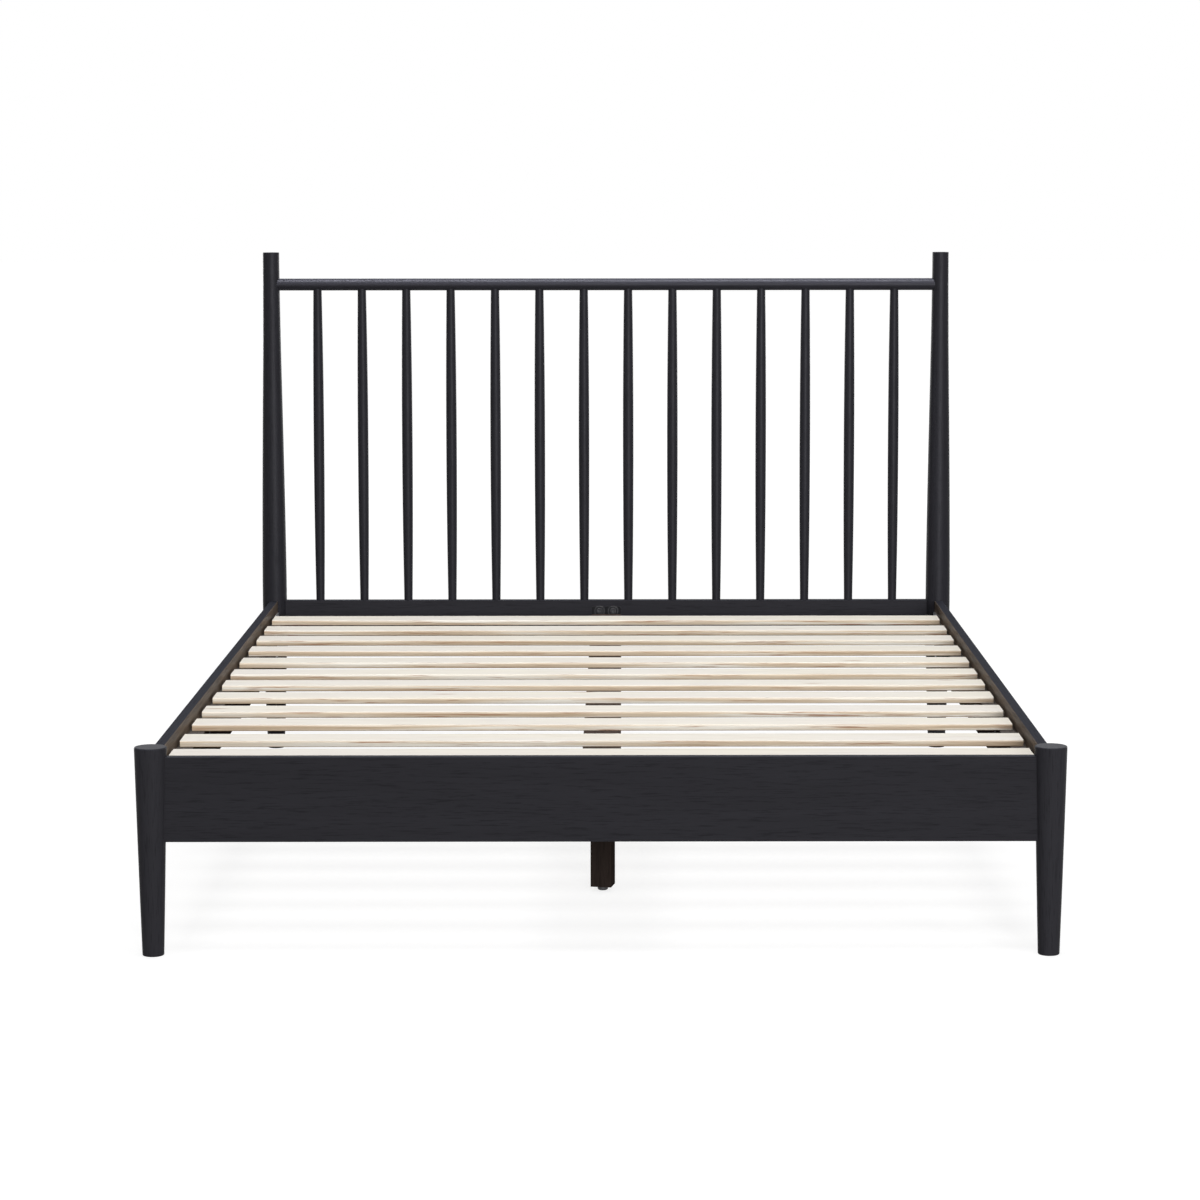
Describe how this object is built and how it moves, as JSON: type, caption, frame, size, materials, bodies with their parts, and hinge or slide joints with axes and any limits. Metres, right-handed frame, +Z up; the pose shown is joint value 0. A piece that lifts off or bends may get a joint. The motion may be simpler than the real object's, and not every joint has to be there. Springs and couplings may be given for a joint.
{
  "type": "bed frame",
  "caption": "Low bed frame with turned posts, a spindle headboard, flat side rails, tapered round foot legs, a centre beam on screw-in legs and a deck of loose slats.",
  "frame": {"origin": "on the floor, midway between the four corner legs", "axes": "+X to the right seen from the foot end, +Y towards the headboard, +Z up"},
  "size_m": [1.625, 2.1289, 1.172],
  "materials": {
    "black_wood": "black stain over open grain, satin lacquer",
    "slat_wood": "planed pale wood, unfinished",
    "black_steel": "black powder coat",
    "zinc_steel": "bright zinc plate",
    "foot_plastic": "moulded nylon"
  },
  "bodies": {
    "frame": {"headboard_post_left": "black_wood", "headboard_post_right": "black_wood", "headboard_top_rail": "black_wood", "headboard_lower_rail": "black_wood", "spindle_01": "black_wood", "spindle_02": "black_wood", "spindle_03": "black_wood", "spindle_04": "black_wood", "spindle_05": "black_wood", "spindle_06": "black_wood", "spindle_07": "black_wood", "spindle_08": "black_wood", "spindle_09": "black_wood", "spindle_10": "black_wood", "spindle_11": "black_wood", "spindle_12": "black_wood", "spindle_13": "black_wood", "spindle_14": "black_wood", "foot_leg_left": "black_wood", "foot_leg_right": "black_wood", "foot_rail": "black_wood", "side_rail_left": "black_wood", "side_rail_right": "black_wood", "slat_cleat_left": "black_wood", "slat_cleat_right": "black_wood", "centre_beam": "black_wood", "centre_leg_front": "black_wood", "centre_leg_middle": "black_wood", "centre_leg_rear": "black_wood", "slat_01": "slat_wood", "slat_02": "slat_wood", "slat_03": "slat_wood", "slat_04": "slat_wood", "slat_05": "slat_wood", "slat_06": "slat_wood", "slat_07": "slat_wood", "slat_08": "slat_wood", "slat_09": "slat_wood", "slat_10": "slat_wood", "slat_11": "slat_wood", "slat_12": "slat_wood", "beam_bracket_head": "black_steel", "beam_bracket_foot": "black_steel", "beam_bracket_bolts": "black_steel", "beam_bracket_washers": "black_steel", "corner_bracket_head_left": "zinc_steel", "corner_bracket_head_right": "zinc_steel", "corner_bracket_foot_left": "zinc_steel", "corner_bracket_foot_right": "zinc_steel", "corner_bolts": "zinc_steel", "corner_bracket_screws": "zinc_steel", "cleat_screws": "zinc_steel", "beam_screws": "zinc_steel", "hanger_bolts": "zinc_steel", "threaded_inserts": "zinc_steel", "foot_inserts": "zinc_steel"},
    "levelling_foot_front": {"levelling_foot_front": "foot_plastic"},
    "levelling_foot_middle": {"levelling_foot_middle": "foot_plastic"},
    "levelling_foot_rear": {"levelling_foot_rear": "foot_plastic"}
  },
  "joints": [
    {"name": "levelling_foot_front_screw", "type": "slide", "parent": "frame", "child": "levelling_foot_front", "axis": [0, 0, -1], "range_m": [0, 0.012]},
    {"name": "levelling_foot_middle_screw", "type": "slide", "parent": "frame", "child": "levelling_foot_middle", "axis": [0, 0, -1], "range_m": [0, 0.012]},
    {"name": "levelling_foot_rear_screw", "type": "slide", "parent": "frame", "child": "levelling_foot_rear", "axis": [0, 0, -1], "range_m": [0, 0.012]}
  ]
}
